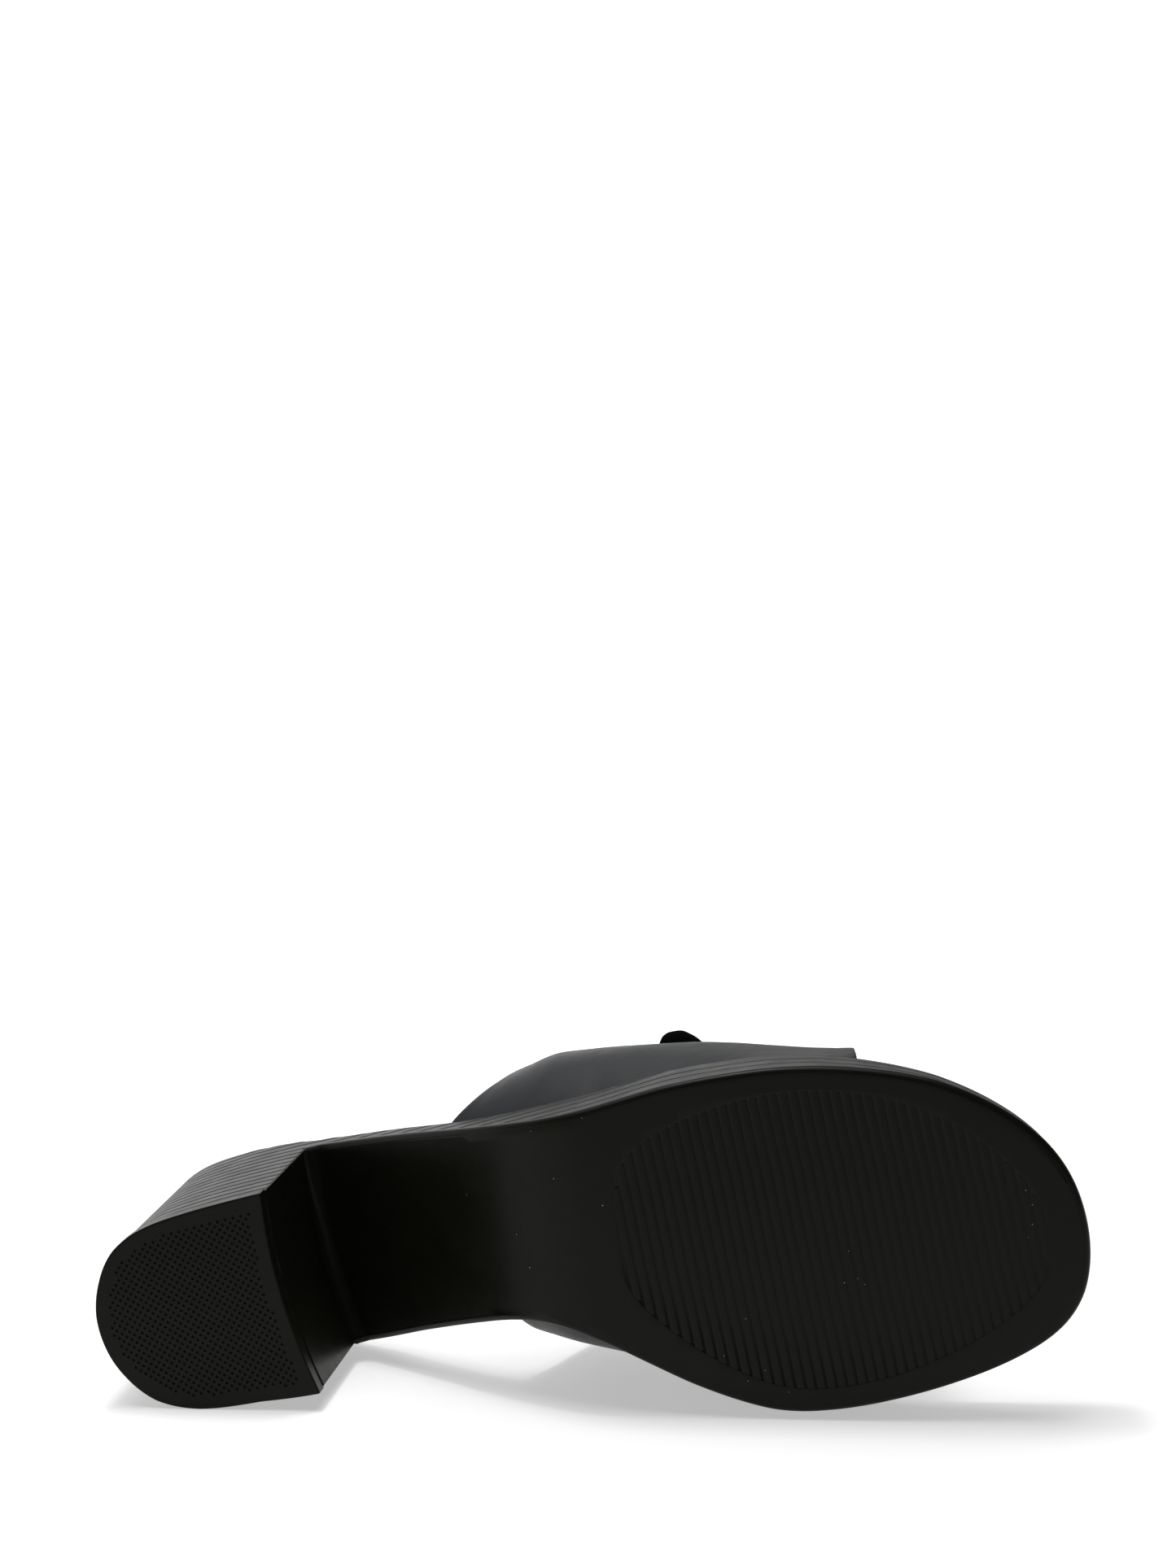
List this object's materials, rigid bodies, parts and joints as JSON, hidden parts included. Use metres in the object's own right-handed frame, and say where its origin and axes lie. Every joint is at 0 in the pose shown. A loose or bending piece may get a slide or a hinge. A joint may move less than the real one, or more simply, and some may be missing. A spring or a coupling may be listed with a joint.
{
  "type": "heeled platform mule sandal",
  "caption": "Right platform mule sandal with a block heel, layered sole wall, ribbed tread and an open-toe, open-back leather vamp, lying on its inner side.",
  "frame": {"origin": "middle of the bounding box, on the floor that the shoe lies on", "axes": "+X towards the toe, +Y from the tread towards the instep, +Z from the inner to the outer side of the foot, straight up from the floor"},
  "size_m": [0.2386, 0.0858, 0.0849],
  "materials": {
    "rubber": "satin black moulded rubber",
    "moulded_sole": "satin black moulded sole unit with level layer lines",
    "lining": "matt black lining leather",
    "upper_leather": "smooth black leather with a soft sheen",
    "trim": "deep black matt leather trim"
  },
  "bodies": {
    "root": {"top_piece": "rubber", "heel_block": "moulded_sole", "platform": "moulded_sole", "outsole": "rubber", "insole": "lining", "upper": "upper_leather", "vamp_tab": "trim"}
  },
  "joints": []
}
